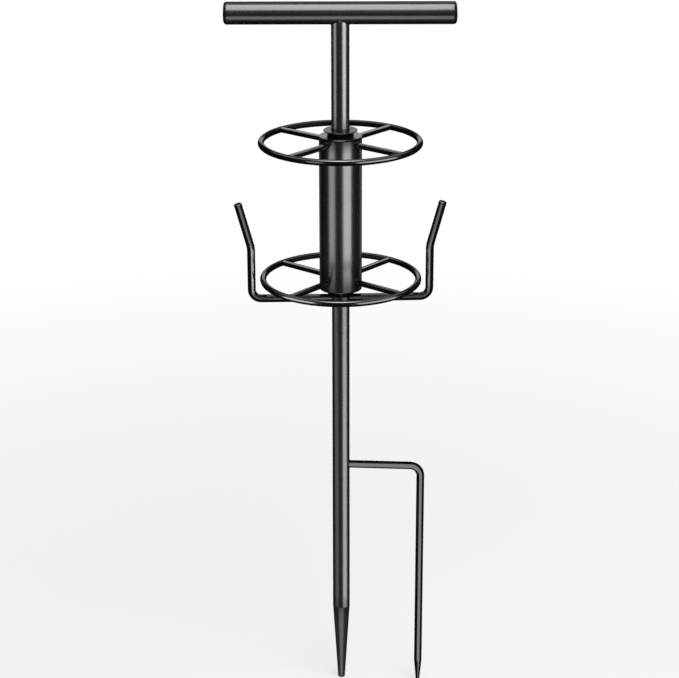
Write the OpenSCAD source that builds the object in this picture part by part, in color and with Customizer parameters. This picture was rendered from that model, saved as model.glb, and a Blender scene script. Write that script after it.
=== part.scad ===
// Guide stake: a T-handled steel post with a free-running spoked roller, a two-armed guard round
// the roller, and a side prong that stops the post from turning.
// Millimetres. +Z is up and z = 0 is the ground line. The origin is on the axis of the post,
// X runs along the handle and the side prong stands on the +X side.

/* [Post] */
// Outside diameter of the post
post_d = 18; // [15:0.5:21]
// Wall of the post tube
post_wall = 1.8; // [1:0.1:3]
// Depth of the post's point below the ground line
spike_depth = 259.4; // [180:0.5:320]
// Length of the tapered point
point_len = 89; // [40:1:140]
// Diameter of the blunt end of the point
point_tip_d = 7.4; // [3:0.1:10]
// Chamfer round the blunt end of the point
point_chamfer = 0.9; // [0.2:0.1:1.4]
// Length of the point's spigot inside the post tube
spigot_len = 30; // [10:1:60]

/* [Handle] */
// Outside diameter of the handle tube
handle_d = 22; // [22:0.5:32]
// Wall of the handle tube
handle_wall = 1.8; // [1:0.1:3]
// Length of the handle over its caps
handle_len = 225; // [120:1:320]
// Clear length of post between the stop collar and the handle
grip_post_len = 104; // [60:1:160]
// Rounding of the corner of each cap
cap_round = 3.5; // [1:0.1:5]
// Straight edge of each cap, between the tube's end and the rounding
cap_land = 0.6; // [0.3:0.1:3]
// Length of the cap's plug inside the handle tube
cap_plug_len = 12; // [6:1:20]
// Wall of the cap's plug
cap_plug_wall = 1.6; // [1:0.1:2.5]

/* [Roller] */
// Outside diameter of the roller tube
roller_d = 42.8; // [38:0.2:54]
// Wall of the roller tube
roller_wall = 1.8; // [1:0.1:3]
// Length of the roller tube without its bushes
roller_len = 155.8; // [120:0.2:200]
// Thickness of each bush's flange
flange_t = 1.3; // [0.8:0.1:3]
// Diameter of the neck that stands out of each bush
neck_d = 26.4; // [25:0.2:30]
// Height of the neck above the flange
neck_h = 4.6; // [2:0.1:8]
// Length of the bush's hub and skirt inside the roller tube
bush_len = 16; // [8:1:30]
// Wall of the bush's skirt
skirt_wall = 2; // [1.2:0.1:3]
// Running clearance between the post and each bush, on the radius
bush_clear = 0.1; // [0.05:0.01:0.1]
// Lengthwise play of the roller at each of its two stops
end_play = 0.3; // [0.2:0.05:0.6]

/* [Rings] */
// Radius of each wire ring, to the middle of the wire
ring_r = 78.4; // [60:0.2:95]
// Diameter of the ring wire
ring_wire_d = 6.3; // [4:0.1:9]
// Diameter of the spoke wire
spoke_d = 6; // [4:0.1:8]
// Distance of the upper ring's plane from the top of the roller tube
upper_inset = 5.4; // [4.6:0.1:20]
// Distance of the lower ring's plane from the bottom of the roller tube
lower_inset = 8.9; // [4.6:0.1:20]
// Turn of the first spoke from +X, seen from above
spoke_turn = 50; // [0:1:89]

/* [Stops] */
// Diameter of the stop collar
collar_d = 34; // [30:0.5:40]
// Thickness of the stop collar
collar_t = 1; // [1:0.1:4]
// Diameter of the washer under the roller
washer_d = 26; // [22:0.5:32]
// Thickness of the washer under the roller
washer_t = 1.6; // [1:0.1:5]
// Clearance between the post and the washer, on the radius
washer_clear = 0.2; // [0.1:0.05:0.5]

/* [Guard] */
// Diameter of the guard's bar
guard_d = 8.2; // [6:0.1:10]
// Height of the guard's level bars above the ground line, to the middle of the bar
guard_height = 180.4; // [120:0.1:240]
// Gap between the outside of the rings and the guard's uprights
guard_gap = 4.4; // [2:0.1:15]
// Inner corner of the guard: bend radius to the middle of the bar
guard_bend_r = 9.5; // [8:0.5:20]
// Height from the level bars up to where the uprights lean outwards
flare_rise = 54; // [40:0.2:90]
// Outward lean of the guard's upper ends
flare_angle = 15.2; // [5:0.5:40]
// Radius of the bend into the lean, to the middle of the bar
flare_bend_r = 30; // [12:1:50]
// Length of the leaning end, from the corner of the lean
flare_len = 47.6; // [20:1:80]
// Turn of the guard's right arm about the post, seen from above
guard_turn_right = 3; // [-10:0.1:10]
// Turn of the guard's left arm about the post, seen from above
guard_turn_left = 1.2; // [-10:0.1:10]

/* [Side prong] */
// Diameter of the prong's bar
prong_d = 8.2; // [6:0.1:10]
// Distance from the axis of the post to the axis of the prong's leg
prong_spread = 83.3; // [50:0.1:110]
// Bend radius of the prong to the middle of the bar
prong_bend_r = 11; // [8:0.5:25]
// Depth of the prong's point below the ground line
prong_depth = 259.4; // [120:0.5:320]
// Length of the prong's taper
prong_taper = 24; // [15:1:60]
// Diameter of the prong's blunt end
prong_tip_d = 4; // [1:0.1:5]
// Turn of the prong about the post, seen from above
prong_turn = -4; // [-10:0.1:10]

/* [Joints] */
// Gap left between pieces that are welded or plugged together
seat_gap = 0.05; // [0.02:0.01:0.1]
// Leg of the weld beads round the guard's bars and the spokes
bead = 1.1; // [0.6:0.1:1.8]
// Leg of the fine weld beads under the handle and round the prong's bar
fine_bead = 0.6; // [0.4:0.1:1.2]
// Chamfer on the cut ends of the guard
end_chamfer = 0.5; // [0.2:0.1:1]

/* [Hidden] */
$fn = 96;

spoke_count = 4;

steel = [0.08, 0.08, 0.085];
plastic = [0.2, 0.2, 0.21];

post_r = post_d / 2;
handle_r = handle_d / 2;
roller_r = roller_d / 2;
roller_bore_r = roller_r - roller_wall;
bush_bore_r = post_r + bush_clear;
neck_r = neck_d / 2;
guard_r = guard_d / 2;
prong_r = prong_d / 2;

// Heights, worked out upwards from the guard's level bars
washer_z = guard_height + guard_r + seat_gap;
lower_bush_z = washer_z + washer_t + end_play;
roller_z = lower_bush_z + neck_h + flange_t;
roller_top_z = roller_z + roller_len;
upper_bush_z = roller_top_z + flange_t + neck_h;
collar_z = upper_bush_z + end_play;
collar_top_z = collar_z + collar_t;
handle_z = collar_top_z + grip_post_len + handle_r;
lower_ring_z = roller_z + lower_inset;
upper_ring_z = roller_top_z - upper_inset;

// Depths below the ground line
point_z = -spike_depth;
point_top_z = point_z + point_len;
prong_z = -prong_r;

// Places along X
guard_half = ring_r + ring_wire_d / 2 + guard_gap + guard_r;
cap_head = cap_land + cap_round;
handle_tube_len = handle_len - 2 * (cap_head + seat_gap);
flare_tangent = flare_bend_r * tan(flare_angle / 2);

// How far a straight bar runs into the bend of the lean, and how much fuller that bend is
bend_lap = 0.5;
bend_swell = 0.02;

// Small chamfer on turned edges, and the countersink that holds the collar's weld
edge = 0.3;
weld_sink = 0.6;

// Round pipe along +Z
module pipe(r_out, r_in, h) {
    rotate_extrude()
        translate([r_in, 0])
            square([r_out - r_in, h]);
}

// The same with chamfered outer edges
module edged_pipe(r_out, r_in, h) {
    rotate_extrude()
        polygon([[r_in, 0], [r_out - edge, 0], [r_out, edge],
            [r_out, h - edge], [r_out - edge, h], [r_in, h]]);
}

// Bar along +X from the origin
module bar_x(d, h) {
    rotate([0, 90, 0])
        cylinder(d = d, h = h);
}

// Bend of round bar in the XZ plane about the origin, from one angle to another
module bar_bend(d, r, from, turn) {
    rotate([90, 0, 0])
        rotate([0, 0, from])
            rotate_extrude(angle = turn)
                translate([r, 0])
                    circle(d = d);
}

// The saddle-shaped bead where a bar along X meets an upright tube
module saddle_bead(bar_r, tube_r, leg) {
    difference() {
        intersection() {
            translate([tube_r / 2, 0, 0])
                bar_x(2 * (bar_r + leg), tube_r + leg);
            cylinder(r = tube_r + leg, h = 4 * (bar_r + leg), center = true);
        }
        cylinder(r = tube_r + seat_gap, h = 5 * (bar_r + leg), center = true);
        bar_x(2 * (bar_r + seat_gap), 2 * (tube_r + leg));
    }
}

// Space of the post, which every bar that meets it is coped to
module post_space(h) {
    cylinder(r = post_r + seat_gap, h = h, center = true);
}

module handle_tube() {
    color(steel)
        translate([-handle_tube_len / 2, 0, handle_z])
            rotate([0, 90, 0])
                pipe(handle_r, handle_r - handle_wall, handle_tube_len);
}

// Cap with a rounded corner and a hollow plug, its head along +Z from z = 0
module cap_body() {
    plug_r = handle_r - handle_wall - seat_gap;
    rotate_extrude() {
        square([handle_r - cap_round, cap_head]);
        square([handle_r, cap_land]);
        translate([handle_r - cap_round, cap_land])
            intersection() {
                circle(r = cap_round);
                square(cap_round);
            }
        translate([plug_r - cap_plug_wall, -cap_plug_len])
            square([cap_plug_wall, cap_plug_len]);
    }
}

module handle_cap(side) {
    color(steel)
        translate([side * (handle_len / 2 - cap_head), 0, handle_z])
            rotate([0, side * 90, 0])
                cap_body();
}

module handle_weld() {
    bead_space = 2 * (post_r + fine_bead);
    color(steel)
        translate([0, 0, handle_z])
            difference() {
                intersection() {
                    translate([-bead_space / 2, 0, 0])
                        bar_x(2 * (handle_r + fine_bead), bead_space);
                    translate([0, 0, -handle_d])
                        cylinder(r = post_r + fine_bead, h = handle_d);
                }
                translate([-bead_space, 0, 0])
                    bar_x(2 * (handle_r + seat_gap), 2 * bead_space);
                translate([0, 0, -2 * handle_d])
                    cylinder(r = post_r + seat_gap, h = 3 * handle_d);
            }
}

module post_tube() {
    color(steel)
        difference() {
            translate([0, 0, point_top_z + seat_gap])
                pipe(post_r, post_r - post_wall, handle_z - point_top_z - seat_gap);
            translate([-post_d, 0, handle_z])
                bar_x(2 * (handle_r + seat_gap), 2 * post_d);
        }
}

module spike_point() {
    tip_r = point_tip_d / 2;
    color(steel) {
        translate([0, 0, point_z])
            cylinder(r1 = tip_r - point_chamfer, r2 = tip_r, h = point_chamfer);
        translate([0, 0, point_z + point_chamfer])
            cylinder(r1 = tip_r, r2 = post_r, h = point_len - point_chamfer);
        translate([0, 0, point_top_z])
            cylinder(r = post_r - post_wall - seat_gap, h = spigot_len);
    }
}

module stop_collar() {
    color(steel)
        translate([0, 0, collar_z])
            difference() {
                edged_pipe(collar_d / 2, post_r + seat_gap, collar_t);
                translate([0, 0, collar_t - weld_sink])
                    cylinder(r1 = post_r + seat_gap, r2 = post_r + seat_gap + 2 * weld_sink, h = 2 * weld_sink);
            }
}

// Lies in the countersink, a little below the collar's top face
module collar_weld() {
    bead_r = post_r + seat_gap;
    leg = weld_sink - 3 * seat_gap;
    color(steel)
        translate([0, 0, collar_top_z - seat_gap])
            rotate_extrude()
                polygon([[bead_r, -leg], [bead_r + leg, 0], [bead_r, 0]]);
}

module thrust_washer() {
    color(plastic)
        translate([0, 0, washer_z])
            edged_pipe(washer_d / 2, post_r + washer_clear, washer_t);
}

// Guard arm on the +X side: level bar, corner, upright and leaning end.
// The straight bars run a little way into the bend of the lean, which is a shade fuller.
module guard_arm_shape() {
    level_len = guard_half - guard_bend_r;
    upright_len = flare_rise - guard_bend_r - flare_tangent;
    end_len = flare_len - flare_tangent;
    difference() {
        bar_x(guard_d, level_len);
        post_space(3 * guard_d);
    }
    translate([level_len, 0, guard_bend_r])
        bar_bend(guard_d, guard_bend_r, -90, 90);
    translate([guard_half, 0, guard_bend_r])
        cylinder(d = guard_d, h = upright_len + bend_lap);
    translate([guard_half + flare_bend_r, 0, flare_rise - flare_tangent])
        bar_bend(guard_d + 2 * bend_swell, flare_bend_r, 180 - flare_angle, flare_angle);
    translate([guard_half, 0, flare_rise])
        rotate([0, flare_angle, 0])
            translate([0, 0, flare_tangent]) {
                translate([0, 0, -bend_lap])
                    cylinder(d = guard_d, h = bend_lap + end_len - end_chamfer);
                translate([0, 0, end_len - end_chamfer])
                    cylinder(d1 = guard_d, d2 = guard_d - 2 * end_chamfer, h = end_chamfer);
            }
}

// side is 1 for the arm on +X and -1 for the arm on -X
module guard_side(side) {
    translate([0, 0, guard_height])
        rotate([0, 0, side > 0 ? guard_turn_right : 180 + guard_turn_left])
            children();
}

module guard_arm(side) {
    color(steel)
        guard_side(side)
            guard_arm_shape();
}

// The beads stop at the top of the bars, so that the washer lies flat on them
module guard_welds() {
    color(steel)
        for (side = [-1, 1])
            guard_side(side)
                difference() {
                    saddle_bead(guard_r, post_r, bead);
                    translate([0, -guard_d, guard_r])
                        cube([2 * post_d, 2 * guard_d, guard_d]);
                }
}

module side_prong() {
    leg_top = prong_z - prong_bend_r;
    taper_top = prong_taper - prong_depth;
    color(steel)
        rotate([0, 0, prong_turn]) {
            translate([0, 0, prong_z])
                difference() {
                    bar_x(prong_d, prong_spread - prong_bend_r);
                    post_space(3 * prong_d);
                }
            translate([prong_spread - prong_bend_r, 0, leg_top])
                bar_bend(prong_d, prong_bend_r, 0, 90);
            translate([prong_spread, 0, taper_top])
                cylinder(d = prong_d, h = leg_top - taper_top);
            translate([prong_spread, 0, -prong_depth])
                cylinder(d1 = prong_tip_d, d2 = prong_d, h = prong_taper);
        }
}

module prong_weld() {
    color(steel)
        translate([0, 0, prong_z])
            rotate([0, 0, prong_turn])
                saddle_bead(prong_r, post_r, fine_bead);
}

module roller_tube() {
    color(steel)
        translate([0, 0, roller_z])
            edged_pipe(roller_r, roller_bore_r, roller_len);
}

// Bush for the top end of the tube: flange on z = 0, neck above, hub and skirt below
module bush() {
    skirt_r = roller_bore_r - seat_gap;
    rotate_extrude() {
        polygon([[bush_bore_r, seat_gap], [roller_r - edge, seat_gap], [roller_r, seat_gap + edge],
            [roller_r, flange_t - edge], [roller_r - edge, flange_t], [neck_r, flange_t],
            [neck_r, flange_t + neck_h - edge], [neck_r - edge, flange_t + neck_h],
            [bush_bore_r, flange_t + neck_h]]);
        translate([bush_bore_r, -bush_len])
            square([neck_r - bush_bore_r, bush_len + seat_gap]);
        translate([skirt_r - skirt_wall, -bush_len])
            square([skirt_wall, bush_len + seat_gap]);
    }
}

module upper_bush() {
    color(plastic)
        translate([0, 0, roller_top_z])
            bush();
}

module lower_bush() {
    color(plastic)
        translate([0, 0, roller_z])
            mirror([0, 0, 1])
                bush();
}

// Ring of round wire; extra widens the wire, to cope the spokes to it
module wire_ring(extra = 0) {
    rotate_extrude()
        translate([ring_r, 0])
            circle(d = ring_wire_d + 2 * extra);
}

module upper_ring() {
    color(steel)
        translate([0, 0, upper_ring_z])
            wire_ring();
}

module lower_ring() {
    color(steel)
        translate([0, 0, lower_ring_z])
            wire_ring();
}

// Spoke number i of the ring at height z, coped to the tube and to the ring
module spoke(i, z) {
    color(steel)
        translate([0, 0, z])
            rotate([0, 0, spoke_turn + 360 / spoke_count * (i - 1)])
                difference() {
                    bar_x(spoke_d, ring_r);
                    cylinder(r = roller_r + seat_gap, h = 3 * spoke_d, center = true);
                    wire_ring(seat_gap);
                }
}

// The beads where the spokes of the ring at height z meet the tube
module spoke_welds(z) {
    color(steel)
        translate([0, 0, z])
            for (i = [1 : spoke_count])
                rotate([0, 0, spoke_turn + 360 / spoke_count * (i - 1)])
                    saddle_bead(spoke_d / 2, roller_r, bead);
}

handle_tube();
handle_cap(-1);  // handle_cap_left
handle_cap(1);  // handle_cap_right
handle_weld();
post_tube();
spike_point();
stop_collar();
collar_weld();
thrust_washer();
guard_arm(-1);  // guard_arm_left
guard_arm(1);  // guard_arm_right
guard_welds();
side_prong();
prong_weld();
roller_tube();
upper_bush();
lower_bush();
upper_ring();
lower_ring();
for (i = [1 : spoke_count]) {
    spoke(i, upper_ring_z);
    spoke(i, lower_ring_z);
}
spoke_welds(upper_ring_z);  // upper_spoke_welds
spoke_welds(lower_ring_z);  // lower_spoke_welds
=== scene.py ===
import math

import bpy
import bmesh
from mathutils import Matrix, Vector


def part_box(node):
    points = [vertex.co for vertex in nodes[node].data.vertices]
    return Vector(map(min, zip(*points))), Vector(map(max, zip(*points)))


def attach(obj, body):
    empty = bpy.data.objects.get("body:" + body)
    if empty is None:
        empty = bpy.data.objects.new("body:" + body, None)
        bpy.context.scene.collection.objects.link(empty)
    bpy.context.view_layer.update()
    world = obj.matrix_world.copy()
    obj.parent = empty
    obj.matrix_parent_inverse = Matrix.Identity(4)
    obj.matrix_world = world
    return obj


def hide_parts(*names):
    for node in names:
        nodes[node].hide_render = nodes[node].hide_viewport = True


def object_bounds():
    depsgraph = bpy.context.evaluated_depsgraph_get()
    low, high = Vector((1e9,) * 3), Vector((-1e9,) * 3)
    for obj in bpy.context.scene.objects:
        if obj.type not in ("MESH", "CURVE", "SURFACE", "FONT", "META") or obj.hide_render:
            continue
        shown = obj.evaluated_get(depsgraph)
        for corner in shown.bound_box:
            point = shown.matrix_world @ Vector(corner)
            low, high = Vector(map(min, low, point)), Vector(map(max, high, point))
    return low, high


# Guide stake: a T-handled post with a spoked roller, two guard arms and a side prong.
# Metres. Z is up, the origin is on the axis of the post, and X runs along the handle.
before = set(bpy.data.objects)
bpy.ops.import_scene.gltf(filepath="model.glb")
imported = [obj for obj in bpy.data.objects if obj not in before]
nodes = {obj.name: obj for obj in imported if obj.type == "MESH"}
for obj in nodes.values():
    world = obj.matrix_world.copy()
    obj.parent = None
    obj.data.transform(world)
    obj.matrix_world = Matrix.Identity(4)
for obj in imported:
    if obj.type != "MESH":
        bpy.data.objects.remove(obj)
cadBox = [list(corner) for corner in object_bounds()]
print("frame loaded:", len(nodes), "nodes")


# small helpers for shader trees
def newNode(tree, kind, **settings):
    node = tree.nodes.new(kind)
    for name, value in settings.items():
        setattr(node, name, value)
    return node


def fill(node, **values):
    for name, value in values.items():
        node.inputs[name.replace("_", " ")].default_value = value
    return node


def link(tree, source, target):
    tree.links.new(source, target)


def emptyMaterial(name):
    material = bpy.data.materials.new(name)
    material.use_nodes = True
    material.node_tree.nodes.clear()
    return material, material.node_tree


# powder coat: a rough near-black body under a half-gloss skin with a fine orange peel
powderCoat = {
    "darkColor": (0.0060, 0.0060, 0.0064, 1),
    "lightColor": (0.0095, 0.0095, 0.0100, 1),
    "toneSpread": (0.35, 0.68),
    "patchScale": 34.0,
    "bodyRough": (0.40, 0.50),
    "bodyGloss": 0.12,
    "skinWeight": 1.0,
    "skinRough": 0.24,
    "skinIor": 1.5,
    "dullWeight": 0.12,  # coat weight where painted shade dims the highlights
    "peelScale": 620,
    "peelDepth": 0.000006,
}


# dull: from, to and [(share of the way, how much painted shade), ...], along z or out from the post's
# axis
def makeFinish(name, look, dull=(0, 1, [(0, 0), (1, 0)])):
    material, tree = emptyMaterial(name)
    place = newNode(tree, "ShaderNodeTexCoord")
    peel = fill(newNode(tree, "ShaderNodeTexNoise"), Scale=look["peelScale"], Detail=2.0, Roughness=0.45)
    patches = fill(newNode(tree, "ShaderNodeTexNoise"), Scale=look["patchScale"], Detail=3.0,
                   Roughness=0.55)
    tone = newNode(tree, "ShaderNodeValToRGB")
    colors = (look["darkColor"], look["lightColor"])
    for stop, position, color in zip(tone.color_ramp.elements, look["toneSpread"], colors):
        stop.position, stop.color = position, color
    smoothest, roughest = look["bodyRough"]
    rough = fill(newNode(tree, "ShaderNodeMapRange"), To_Min=smoothest, To_Max=roughest)
    start, end, amounts = dull
    where = fill(newNode(tree, "ShaderNodeMapRange"), From_Min=start, From_Max=end)
    dullness = newNode(tree, "ShaderNodeValToRGB")
    stops = dullness.color_ramp.elements
    for share, _ in amounts[1:-1]:
        stops.new(share)
    for stop, (share, amount) in zip(stops, amounts):
        stop.position, stop.color = share, (amount, amount, amount, 1)
    # painted shade: where the ramp is high the coat weight drops, so the highlights there are dimmed
    skin = fill(newNode(tree, "ShaderNodeMapRange"), To_Min=look["skinWeight"], To_Max=look["dullWeight"])
    bump = fill(newNode(tree, "ShaderNodeBump"), Strength=1.0, Distance=look["peelDepth"])
    shader = fill(newNode(tree, "ShaderNodeBsdfPrincipled"), Specular_IOR_Level=look["bodyGloss"],
                  Coat_Roughness=look["skinRough"], Coat_IOR=look["skinIor"])
    out = newNode(tree, "ShaderNodeOutputMaterial")
    link(tree, place.outputs["Object"], peel.inputs["Vector"])
    link(tree, place.outputs["Object"], patches.inputs["Vector"])
    if look.get("dullByRadius"):
        flat = newNode(tree, "ShaderNodeVectorMath", operation="MULTIPLY")
        flat.inputs[1].default_value = (1, 1, 0)
        radius = newNode(tree, "ShaderNodeVectorMath", operation="LENGTH")
        link(tree, place.outputs["Object"], flat.inputs[0])
        link(tree, flat.outputs["Vector"], radius.inputs[0])
        link(tree, radius.outputs["Value"], where.inputs["Value"])
    else:
        axes = newNode(tree, "ShaderNodeSeparateXYZ")
        link(tree, place.outputs["Object"], axes.inputs[0])
        link(tree, axes.outputs["Z"], where.inputs["Value"])
    link(tree, where.outputs["Result"], dullness.inputs["Fac"])
    link(tree, patches.outputs["Fac"], tone.inputs["Fac"])
    link(tree, patches.outputs["Fac"], rough.inputs["Value"])
    link(tree, dullness.outputs["Color"], skin.inputs["Value"])
    link(tree, peel.outputs["Fac"], bump.inputs["Height"])
    link(tree, tone.outputs["Color"], shader.inputs["Base Color"])
    link(tree, rough.outputs["Result"], shader.inputs["Roughness"])
    link(tree, skin.outputs["Result"], shader.inputs["Coat Weight"])
    link(tree, bump.outputs["Normal"], shader.inputs["Normal"])
    link(tree, bump.outputs["Normal"], shader.inputs["Coat Normal"])
    link(tree, shader.outputs["BSDF"], out.inputs["Surface"])
    return material


# where painted shade dims the coats' highlights, from the pieces' own boxes
armRise = 0.008
pointFade = 0.014
rollerLow, rollerHigh = (corner.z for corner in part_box("roller_tube"))
# painted shade: the roller's highlights fade towards both its ends, over a longer stretch at the bottom
rollerShade = (rollerLow, rollerHigh, [
    (0.0, 0.97), (0.03, 0.93), (0.08, 0.68), (0.133, 0.40), (0.17, 0.15), (0.25, 0.03),
    (0.40, 0.0), (0.85, 0.0), (0.92, 0.1), (1.0, 1.0)])
guardLow, guardTop = (corner.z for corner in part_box("guard_welds"))
# painted shade: the guard arms' highlights are dimmed on the level bars under the roller, up to just
# above them
armShade = (guardLow, guardTop + armRise, [(0.0, 1.0), (0.55, 1.0), (1.0, 0.0)])
postLow, postHigh = (corner.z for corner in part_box("post_tube"))
# painted shade: the post's highlights fade out over its last 16 mm above the point, and vanish in a band
# at the guard bars under the roller
postStops = [
    (postLow, 0.62), (postLow + 0.006, 0.5), (postLow + 0.016, 0.0),
    (guardTop - 0.012, 0.0), (guardTop - 0.009, 1.0), (guardTop + 0.005, 1.0), (guardTop + 0.008, 0.0),
    (postHigh, 0.0)]
postShade = (postLow, postHigh, [((z - postLow) / (postHigh - postLow), dull) for z, dull in postStops])
# painted shade: the point's highlights dim towards its shoulder at the tube's end
pointShade = (postLow - pointFade, postLow, [(0.0, 0.0), (1.0, 0.5)])
ringLow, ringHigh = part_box("upper_ring")
ringInner = ringHigh.x - (ringHigh.z - ringLow.z)
# painted shade: the rings' inner faces lose their highlights
ringShade = (ringInner, ringHigh.x, [(0.0, 1.0), (0.10, 1.0), (0.22, 0.0), (1.0, 0.0)])

# the other looks, each as it differs from powder coat
wireCoat = {
    **powderCoat,
    "darkColor": (0.0030, 0.0030, 0.0032, 1),
    "lightColor": (0.0050, 0.0050, 0.0053, 1),
    "bodyGloss": 0.0,
    "skinRough": 0.17,
    "skinIor": 1.7,
    "dullWeight": 0.40,
    "peelDepth": 0.0000003,
}
# the rings' painted shade is laid out by distance from the post's axis
ringCoat = {**wireCoat, "skinIor": 2.6, "dullWeight": 0.05, "dullByRadius": True}
flatCoat = {**powderCoat, "skinWeight": 0.6, "skinRough": 0.33}
pointCoat = {**powderCoat, "skinRough": 0.36}
rollerCoat = {**powderCoat, "skinIor": 2.0, "peelDepth": 0.000004}
nylonLook = {
    **powderCoat,
    "darkColor": (0.0030, 0.0030, 0.0031, 1),
    "lightColor": (0.0070, 0.0070, 0.0072, 1),
    "bodyRough": (0.24, 0.34),
    "bodyGloss": 0.7,
    "skinWeight": 0.0,
    "dullWeight": 0.0,
    "peelScale": 900,
    "peelDepth": 0.00002,
}
tubeFinish = makeFinish("powderCoat", powderCoat)
wireFinish = makeFinish("wireCoat", wireCoat)
nylonFinish = makeFinish("blackNylon", nylonLook)
armFinish = makeFinish("armCoat", wireCoat, armShade)
ringFinish = makeFinish("ringCoat", ringCoat, ringShade)
finishes = {
    "roller_tube": makeFinish("rollerCoat", rollerCoat, rollerShade),
    "post_tube": makeFinish("postCoat", powderCoat, postShade),
    "stop_collar": makeFinish("collarCoat", flatCoat),
    "spike_point": makeFinish("pointCoat", pointCoat, pointShade),
    "upper_ring": ringFinish,
    "lower_ring": ringFinish,
    "guard_arm_left": armFinish,
    "guard_arm_right": armFinish,
    "upper_bush": nylonFinish,
    "lower_bush": nylonFinish,
    "thrust_washer": nylonFinish,
}
for name, node in nodes.items():
    thin = any(word in name for word in ("guard", "ring", "spoke", "prong"))
    for slot in node.material_slots:
        slot.material = finishes.get(name, wireFinish if thin else tubeFinish)
print("finishes made")

# camera: it looks down by pitch and leans by roll, in degrees
view = {
    "place": (-0.00137, -1.802, 0.8121),
    "pitch": 20.58,
    "roll": -0.135,
    "focalPixels": 1880,
    "widthPixels": 679,
    "sensorWidth": 36.0,
}


def makeCamera(spec):
    data = bpy.data.cameras.new("photoCamera")
    data.sensor_width = spec["sensorWidth"]
    data.lens = spec["sensorWidth"] * spec["focalPixels"] / spec["widthPixels"]
    camera = bpy.data.objects.new("photoCamera", data)
    turn = Matrix.Rotation(math.radians(90 - spec["pitch"]), 4, "X")
    tilt = Matrix.Rotation(math.radians(spec["roll"]), 4, "Z")
    camera.matrix_world = Matrix.Translation(spec["place"]) @ turn @ tilt
    bpy.context.scene.collection.objects.link(camera)
    bpy.context.scene.camera = camera


makeCamera(view)
print("camera set")


def halfWidth(node, axis):
    low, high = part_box(node)
    return (high[axis] - low[axis]) / 2


# weld beads: a rippled bead along the line where two tubes meet
welds = {
    "postRadius": halfWidth("post_tube", 0),
    "rollerRadius": halfWidth("roller_tube", 0),
    "handleRadius": halfWidth("handle_tube", 2),
    "barRadius": 0.0041,
    "spokeRadius": 0.003,
    "bead": 0.0009,
    "fineBead": 0.0005,
    "spokeBead": 0.0006,
    "ripple": 0.0011,
    "rippleDepth": 0.16,
    "across": 12,
    "perRipple": 8,
    "fewestRipples": 4,
    "saddleStretch": 1.15,  # the handle's saddle line over the post's girth
    "firstSpoke": 50,
    "spokes": 4,
    "guardTurns": (3.0, 181.2),
    "prongTurn": -4.0,
}


# the line where a bar along X meets an upright tube, and which way its corner faces
def barOnTube(barRadius, tubeRadius, count):
    line = []
    for i in range(count):
        turn = 2 * math.pi * i / count
        y, z = barRadius * math.cos(turn), barRadius * math.sin(turn)
        x = math.sqrt(tubeRadius ** 2 - y ** 2)
        facing = Vector((0, y, z)) / barRadius + Vector((x, y, 0)) / tubeRadius
        line.append((Vector((x, y, z)), facing.normalized()))
    return line


# the same where the top of the post meets the underside of the handle
def postUnderHandle(postRadius, handleRadius, count):
    line = []
    for i in range(count):
        turn = 2 * math.pi * i / count
        x, y = postRadius * math.cos(turn), postRadius * math.sin(turn)
        z = -math.sqrt(handleRadius ** 2 - y ** 2)
        facing = Vector((x, y, 0)) / postRadius + Vector((0, y, z)) / handleRadius
        line.append((Vector((x, y, z)), facing.normalized()))
    return line


def lineCount(length, spec):
    return max(spec["fewestRipples"], round(length / spec["ripple"])) * spec["perRipple"]


# a closed bead on that line, with spec's ripples; nothing of it rises above ceiling
def addBead(shape, line, radius, spec, place, ceiling=math.inf):
    rings = []
    for i, (point, facing) in enumerate(line):
        along = (line[(i + 1) % len(line)][0] - line[i - 1][0]).normalized()
        out = (facing - along * facing.dot(along)).normalized()
        side = along.cross(out)
        phase = (i % spec["perRipple"]) / spec["perRipple"]
        swell = radius * (1 - spec["rippleDepth"] * phase ** 2)
        ring = []
        for j in range(spec["across"]):
            turn = 2 * math.pi * j / spec["across"]
            spot = place @ (point + (out * math.cos(turn) + side * math.sin(turn)) * swell)
            spot.z = min(spot.z, ceiling)
            ring.append(shape.verts.new(spot))
        rings.append(ring)
    for i, ring in enumerate(rings):
        after = rings[(i + 1) % len(rings)]
        for j in range(len(ring)):
            k = (j + 1) % len(ring)
            shape.faces.new((ring[j], after[j], after[k], ring[k])).smooth = True


def addMesh(name, build):
    mesh = bpy.data.meshes.new(name)
    shape = bmesh.new()
    build(shape)
    bmesh.ops.recalc_face_normals(shape, faces=shape.faces)
    shape.to_mesh(mesh)
    shape.free()
    piece = bpy.data.objects.new(name, mesh)
    bpy.context.scene.collection.objects.link(piece)
    return piece


def finishWeld(piece, body, node):
    piece.data.materials.append(wireFinish)
    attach(piece, body)
    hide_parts(node)


def midHeight(node):
    low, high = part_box(node)
    return (low.z + high.z) / 2


# at a height on the post's axis, turned by some degrees round it
def placeAt(height, turn=0):
    return Matrix.Translation((0, 0, height)) @ Matrix.Rotation(math.radians(turn), 4, "Z")


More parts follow.
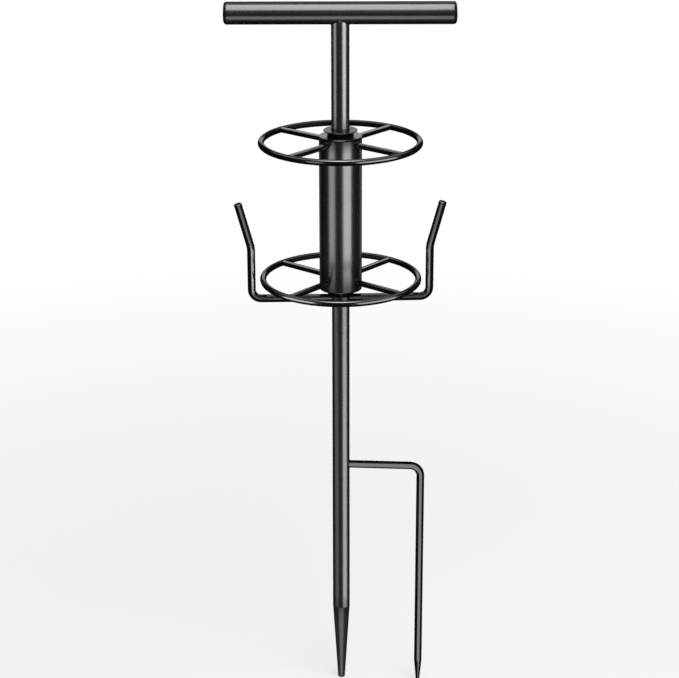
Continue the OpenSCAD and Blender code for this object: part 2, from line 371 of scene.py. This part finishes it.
def makeWelds(spec):
    bar, post = spec["barRadius"], spec["postRadius"]

    def handleBead(shape):
        count = lineCount(spec["saddleStretch"] * 2 * math.pi * post, spec)
        line = postUnderHandle(post, spec["handleRadius"], count)
        addBead(shape, line, spec["fineBead"], spec, placeAt(midHeight("handle_tube")))

    def guardBeads(shape):
        line = barOnTube(bar, post, lineCount(2 * math.pi * bar, spec))
        for turn in spec["guardTurns"]:
            addBead(shape, line, spec["bead"], spec, placeAt(guardTop - bar, turn), guardTop)

    def prongBead(shape):
        line = barOnTube(bar, post, lineCount(2 * math.pi * bar, spec))
        addBead(shape, line, spec["fineBead"], spec, placeAt(-bar, spec["prongTurn"]))

    finishWeld(addMesh("handleBead", handleBead), "stake", "handle_weld")
    finishWeld(addMesh("guardBeads", guardBeads), "stake", "guard_welds")
    finishWeld(addMesh("prongBead", prongBead), "stake", "prong_weld")
    for end in ("upper", "lower"):
        height = midHeight(end + "_ring")

        def spokeBeads(shape):
            count = lineCount(2 * math.pi * spec["spokeRadius"], spec)
            line = barOnTube(spec["spokeRadius"], spec["rollerRadius"], count)
            for i in range(spec["spokes"]):
                place = placeAt(height, spec["firstSpoke"] + 360 / spec["spokes"] * i)
                addBead(shape, line, spec["spokeBead"], spec, place)

        finishWeld(addMesh(end + "SpokeBeads", spokeBeads), "roller", end + "_spoke_welds")


makeWelds(welds)
print("weld beads made")

# studio: the parts that a lamp can be reflected in
litParts = {
    "post": ["post_tube", "collar_weld"],
    "point": ["spike_point"],
    "roller": ["roller_tube"],
    "handle": ["handle_tube", "handle_cap_left", "handle_cap_right", "handleBead"],
    "handleTube": ["handle_tube"],
    "flat": ["stop_collar", "upper_bush", "lower_bush", "thrust_washer"],
    "leftArm": ["guard_arm_left"],
    "rightArm": ["guard_arm_right"],
    "prong": ["side_prong"],
    "armBeads": ["guardBeads", "prongBead"],
    "upperRing": ["upper_ring"],
    "lowerRing": ["lower_ring"],
    "spokes": ["upperSpokeBeads", "lowerSpokeBeads"]
              + [name for name in nodes if "spoke" in name and "weld" not in name],
}
# strips stand upright from low to high, and boxes are aimed at a spot
studio = {
    "aim": Vector((0, 0, 0.15)),
    "strips": {
        "postRight": {"azimuth": 50, "low": -0.30, "high": 1.30, "distance": 1.7, "width": 1.25,
                      "radiance": 13.0, "on": ["post"]},
        "postRightFoot": {"azimuth": 51, "low": -2.2, "high": -0.42, "distance": 1.7, "width": 1.75,
                          "radiance": 7.3, "on": ["post"]},
        "postLeft": {"azimuth": -69, "low": -0.30, "high": 1.30, "distance": 1.7, "width": 1.0,
                     "radiance": 5.5, "on": ["post"]},
        "postLeftFoot": {"azimuth": -58, "low": -2.2, "high": -0.42, "distance": 1.7, "width": 1.8,
                         "radiance": 1.3, "on": ["post"]},
        "rollerRight": {"azimuth": 36, "low": -0.90, "high": 0.50, "distance": 1.7, "width": 1.35,
                        "radiance": 3.85, "on": ["roller"]},
        "rollerLeft": {"azimuth": -47, "low": -0.90, "high": 0.50, "distance": 1.7, "width": 1.0,
                       "radiance": 2.15, "on": ["roller"]},
        "rollerRimRight": {"azimuth": 136, "low": -1.00, "high": 0.80, "distance": 1.7, "width": 0.6,
                           "radiance": 0.28, "on": ["roller"]},
        "rollerRimLeft": {"azimuth": -145, "low": -1.00, "high": 0.80, "distance": 1.7, "width": 0.5,
                          "radiance": 0.2, "on": ["roller"]},
        "backStrip": {"azimuth": 180, "low": -0.8, "high": 0.15, "distance": 1.7, "width": 0.8,
                      "radiance": 3.6,
                      "on": ["post", "point", "leftArm", "rightArm", "prong", "armBeads"]},
        "rollerBack": {"azimuth": 180, "low": -0.8, "high": 0.15, "distance": 1.7, "width": 0.8,
                       "radiance": 1.5, "on": ["roller"]},
        "pointFront": {"azimuth": 0, "low": -2.2, "high": -0.70, "distance": 1.7, "width": 2.4,
                       "radiance": 3.3, "on": ["point"]},
        "pointRight": {"azimuth": 85, "low": -2.2, "high": -0.60, "distance": 1.7, "width": 2.0,
                       "radiance": 0.2, "on": ["point"]},
        "pointLeft": {"azimuth": -85, "low": -2.2, "high": -0.60, "distance": 1.7, "width": 2.0,
                      "radiance": 0.2, "on": ["point"]},
        "ringRight": {"azimuth": 52, "low": -0.36, "high": 1.0, "distance": 1.7, "width": 1.9,
                      "radiance": 2.0, "on": ["upperRing", "lowerRing"]},
        "lowRingLeft": {"azimuth": -60, "low": -0.36, "high": 1.0, "distance": 1.7, "width": 1.5,
                        "radiance": 2.5, "on": ["lowerRing"]},
        "topRingLeft": {"azimuth": -35, "low": -0.36, "high": 1.0, "distance": 1.7, "width": 0.6,
                        "radiance": 0.9, "on": ["upperRing"]},
        "leftFront": {"azimuth": 22, "low": 0.09, "high": 0.16, "distance": 0.24, "width": 0.34,
                      "radiance": 9.0, "on": ["leftArm"]},
        "rightFront": {"azimuth": -8, "low": 0.09, "high": 0.16, "distance": 0.24, "width": 0.4,
                       "radiance": 4.0, "on": ["rightArm"]},
        "leanFront": {"azimuth": 0, "low": 0.16, "high": 0.42, "distance": 0.24, "width": 0.30,
                      "radiance": 1.9, "on": ["leftArm", "rightArm"]},
        "prongFront": {"azimuth": 19, "low": -0.45, "high": 0.3, "distance": 0.26, "width": 0.4,
                       "radiance": 2.9, "on": ["prong"]},
    },
    "boxes": {
        "topBox": {"azimuth": 0, "elevation": 73, "distance": 1.6, "width": 0.7, "height": 1.56,
                   "radiance": 9.8, "on": ["handle"]},
        "lowBox": {"azimuth": 0, "elevation": -36, "distance": 4.0, "width": 1.6, "height": 2.3,
                   "radiance": 3.7, "on": ["handle"]},
        "wireBox": {"azimuth": 180, "elevation": 72, "distance": 1.2, "width": 2.4, "height": 2.0,
                    "radiance": 2.6, "on": ["spokes"]},
        "armBox": {"azimuth": 180, "elevation": 72, "distance": 1.2, "width": 2.4, "height": 2.0,
                   "radiance": 4.0, "on": ["leftArm", "rightArm"]},
        "ringBox": {"azimuth": 180, "elevation": 80, "distance": 1.2, "width": 2.4, "height": 1.4,
                    "radiance": 0.45, "on": ["upperRing", "lowerRing"]},
        "ringBack": {"azimuth": 180, "elevation": 18, "distance": 1.7, "width": 1.1, "height": 0.18,
                     "radiance": 1.2, "on": ["upperRing", "lowerRing"]},
        "flatBack": {"azimuth": 180, "elevation": 14, "distance": 1.7, "width": 1.6, "height": 0.9,
                     "radiance": 1.3, "on": ["flat"]},
        "handleBack": {"azimuth": 180, "elevation": 48, "distance": 1.6, "width": 1.0, "height": 0.9,
                       "radiance": 0.3, "on": ["handle"]},
        "handleSideRight": {"azimuth": 90, "elevation": 48, "distance": 1.6, "width": 0.9, "height": 1.3,
                            "radiance": 5.0, "on": ["handleTube"]},
        "handleSideLeft": {"azimuth": -90, "elevation": 48, "distance": 1.6, "width": 0.9, "height": 1.3,
                           "radiance": 5.0, "on": ["handleTube"]},
        "capRight": {"azimuth": 140, "elevation": 14, "distance": 1.6, "width": 0.6, "height": 0.6,
                     "radiance": 3.0, "on": ["handle"]},
        "capLeft": {"azimuth": -140, "elevation": 14, "distance": 1.6, "width": 0.6, "height": 0.6,
                    "radiance": 2.4, "on": ["handle"]},
        "handleFront": {"azimuth": 0, "elevation": 25, "distance": 1.6, "width": 1.6, "height": 0.4,
                        "radiance": 0.35, "on": ["handle"]},
        "handleFloor": {"azimuth": 0, "elevation": -58, "distance": 3.0, "width": 1.6, "height": 1.0,
                        "radiance": 0.35, "on": ["handle"]},
        "flatFront": {"azimuth": 4, "elevation": -14, "distance": 1.2, "width": 0.22, "height": 0.30,
                      "radiance": 0.9, "on": ["flat"]},
        "flatTop": {"azimuth": 0, "elevation": 78, "distance": 1.2, "width": 0.6, "height": 0.6,
                    "radiance": 10.0, "on": ["flat"]},
        "frontGrid": {"azimuth": 0, "elevation": 80, "distance": 0.45, "width": 0.30, "height": 0.22,
                      "aim": Vector((0, -0.12, 0.20)), "spread": 48,
                      "radiance": 0.36, "on": ["upperRing", "lowerRing"]},
    },
    "softKey": {"azimuth": 35, "elevation": 55, "distance": 2.6, "width": 2.0, "height": 2.0,
                "radiance": 4},
    "ambient": 0.45,
}


def direction(azimuth, elevation):
    a, e = math.radians(azimuth), math.radians(elevation)
    return Vector((math.sin(a) * math.cos(e), -math.cos(a) * math.cos(e), math.sin(e)))


def softBox(name, spec, aim):
    data = bpy.data.lights.new(name, "AREA")
    data.shape = "RECTANGLE"
    data.size, data.size_y = spec["width"], spec["height"]
    data.energy = spec["radiance"] * math.pi * spec["width"] * spec["height"]
    data.spread = math.radians(spec.get("spread", 180))
    lamp = bpy.data.objects.new(name, data)
    away = direction(spec["azimuth"], spec["elevation"])
    lamp.location = aim + away * spec["distance"]
    lamp.rotation_mode = "QUATERNION"
    lamp.rotation_quaternion = away.to_track_quat("Z", "Y")
    lamp.visible_camera = False
    bpy.context.scene.collection.objects.link(lamp)
    return lamp


# a lamp that only gives the named parts their highlight
def highlight(name, spec, aim):
    lamp = softBox(name, spec, aim)
    lamp.visible_diffuse = False
    lit = bpy.data.collections.new(name + "Parts")
    for part in spec["on"]:
        for piece in litParts[part]:
            lit.objects.link(bpy.data.objects[piece])
    lamp.light_linking.receiver_collection = lit


for name, spec in studio["strips"].items():
    middle = Vector((0, 0, (spec["high"] + spec["low"]) / 2))
    highlight(name, {**spec, "elevation": 0, "height": spec["high"] - spec["low"]}, middle)
for name, spec in studio["boxes"].items():
    highlight(name, spec, spec.get("aim", studio["aim"]))
softBox("softKey", studio["softKey"], studio["aim"]).visible_glossy = False
print("lamps hung")


# 1 for camera, glossy and transmission rays, 0 for the rays that light the stake
def seenRays(tree):
    path = newNode(tree, "ShaderNodeLightPath")
    mirrored = newNode(tree, "ShaderNodeMath", operation="MAXIMUM")
    seen = newNode(tree, "ShaderNodeMath", operation="MAXIMUM")
    link(tree, path.outputs["Is Camera Ray"], mirrored.inputs[0])
    link(tree, path.outputs["Is Glossy Ray"], mirrored.inputs[1])
    link(tree, mirrored.outputs[0], seen.inputs[0])
    link(tree, path.outputs["Is Transmission Ray"], seen.inputs[1])
    return seen.outputs[0]


def makeWorld(spec):
    world = bpy.data.worlds.new("paleRoom")
    bpy.context.scene.world = world
    world.use_nodes = True
    tree = world.node_tree
    tree.nodes.clear()
    ambient = fill(newNode(tree, "ShaderNodeBackground"), Color=(1, 1, 1, 1), Strength=spec["ambient"])
    white = fill(newNode(tree, "ShaderNodeBackground"), Color=(1, 1, 1, 1), Strength=1.0)
    mix = newNode(tree, "ShaderNodeMixShader")
    out = newNode(tree, "ShaderNodeOutputWorld")
    link(tree, seenRays(tree), mix.inputs[0])
    link(tree, ambient.outputs[0], mix.inputs[1])
    link(tree, white.outputs[0], mix.inputs[2])
    link(tree, mix.outputs[0], out.inputs["Surface"])


makeWorld(studio)

bpy.context.scene.view_settings.view_transform = "Standard"

# floor: it fades from pale round the stake to white further out
paleFloor = {
    "size": 12.0,
    "color": (0.86, 0.86, 0.86, 1),
    "fadeRadii": (0.35, 1.6),
    "whiteShare": (0.62, 1.0),
}


def makeFloor(spec, height):
    def sheet(shape):
        bmesh.ops.create_grid(shape, x_segments=1, y_segments=1, size=spec["size"] / 2)

    floor = addMesh("studioFloor", sheet)
    floor.location.z = height
    floor.visible_glossy = False
    floor.visible_shadow = False
    material, tree = emptyMaterial("paleFloor")
    matt = fill(newNode(tree, "ShaderNodeBsdfDiffuse"), Color=spec["color"])
    glow = fill(newNode(tree, "ShaderNodeEmission"), Color=(1, 1, 1, 1), Strength=1.0)
    mix = newNode(tree, "ShaderNodeMixShader")
    share = newNode(tree, "ShaderNodeMath", operation="MULTIPLY")
    place = newNode(tree, "ShaderNodeTexCoord")
    away = newNode(tree, "ShaderNodeVectorMath", operation="LENGTH")
    near, far = spec["fadeRadii"]
    least, most = spec["whiteShare"]
    fade = fill(newNode(tree, "ShaderNodeMapRange", interpolation_type="SMOOTHSTEP"),
                From_Min=near, From_Max=far, To_Min=least, To_Max=most)
    out = newNode(tree, "ShaderNodeOutputMaterial")
    link(tree, place.outputs["Object"], away.inputs[0])
    link(tree, away.outputs["Value"], fade.inputs["Value"])
    link(tree, seenRays(tree), share.inputs[0])
    link(tree, fade.outputs["Result"], share.inputs[1])
    link(tree, share.outputs[0], mix.inputs[0])
    link(tree, matt.outputs[0], mix.inputs[1])
    link(tree, glow.outputs[0], mix.inputs[2])
    link(tree, mix.outputs[0], out.inputs["Surface"])
    floor.data.materials.append(material)


makeFloor(paleFloor, cadBox[0][2])

# black cloth all round, seen only in reflections
tent = {"radius": 6.0, "segments": 48, "rows": 24, "glow": 0.003}


def makeTent(spec, aim):
    def shell(shape):
        bmesh.ops.create_uvsphere(shape, u_segments=spec["segments"], v_segments=spec["rows"],
                                  radius=spec["radius"])

    drape = addMesh("blackTent", shell)
    drape.location = aim
    drape.visible_camera = False
    drape.visible_diffuse = False
    drape.visible_shadow = False
    drape.visible_transmission = False
    material, tree = emptyMaterial("blackCloth")
    glow = fill(newNode(tree, "ShaderNodeEmission"), Color=(1, 1, 1, 1), Strength=spec["glow"])
    out = newNode(tree, "ShaderNodeOutputMaterial")
    link(tree, glow.outputs[0], out.inputs["Surface"])
    drape.data.materials.append(material)


makeTent(tent, studio["aim"])
print("floor and backdrop made")
